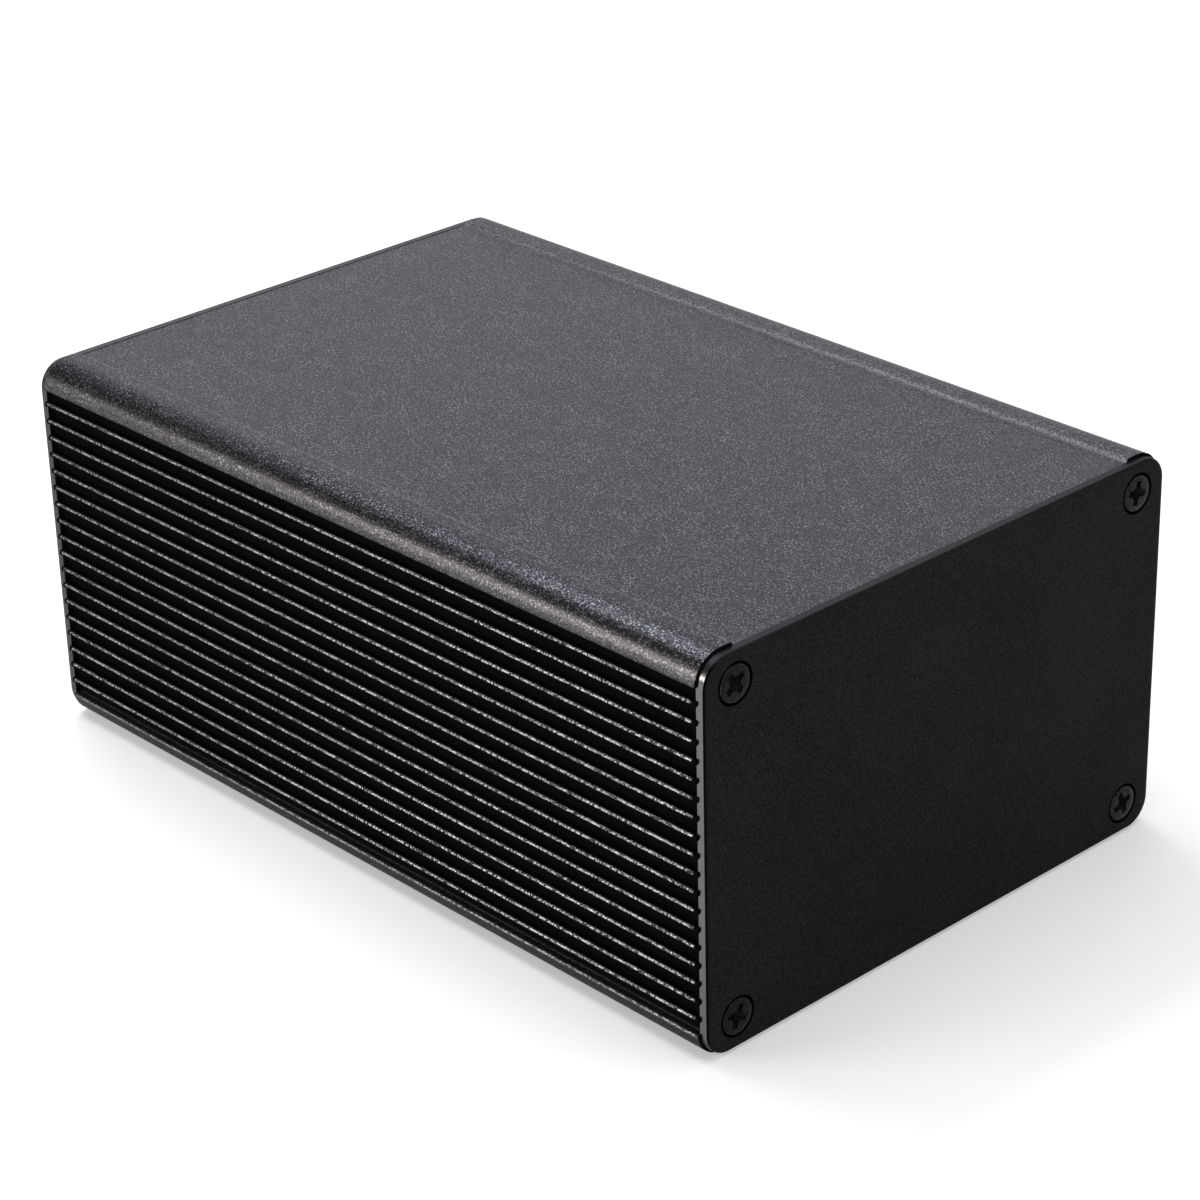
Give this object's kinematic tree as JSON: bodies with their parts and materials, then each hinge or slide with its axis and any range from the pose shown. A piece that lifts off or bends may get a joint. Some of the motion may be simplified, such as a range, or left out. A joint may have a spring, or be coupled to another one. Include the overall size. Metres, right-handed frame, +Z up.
{
  "type": "project box",
  "caption": "Black extruded aluminium project box: ribbed interlocking half shells with board slots, closed by flat end plates with countersunk screws.",
  "frame": {"origin": "centre of the base, on the surface that the box stands on", "axes": "+X along the extrusion towards the front end plate, +Y across the box, +Z up"},
  "size_m": [0.102, 0.066, 0.043],
  "materials": {
    "shell_anodised": "black anodised over fine sandblasting, satin with a faint sparkle",
    "plate_anodised": "black anodised, fine matt",
    "screw_black": "black oxide, satin"
  },
  "bodies": {
    "root": {"upper_shell": "shell_anodised", "lower_shell": "shell_anodised", "front_end_plate": "plate_anodised", "rear_end_plate": "plate_anodised", "front_plate_screws": "screw_black", "rear_plate_screws": "screw_black"}
  },
  "joints": []
}
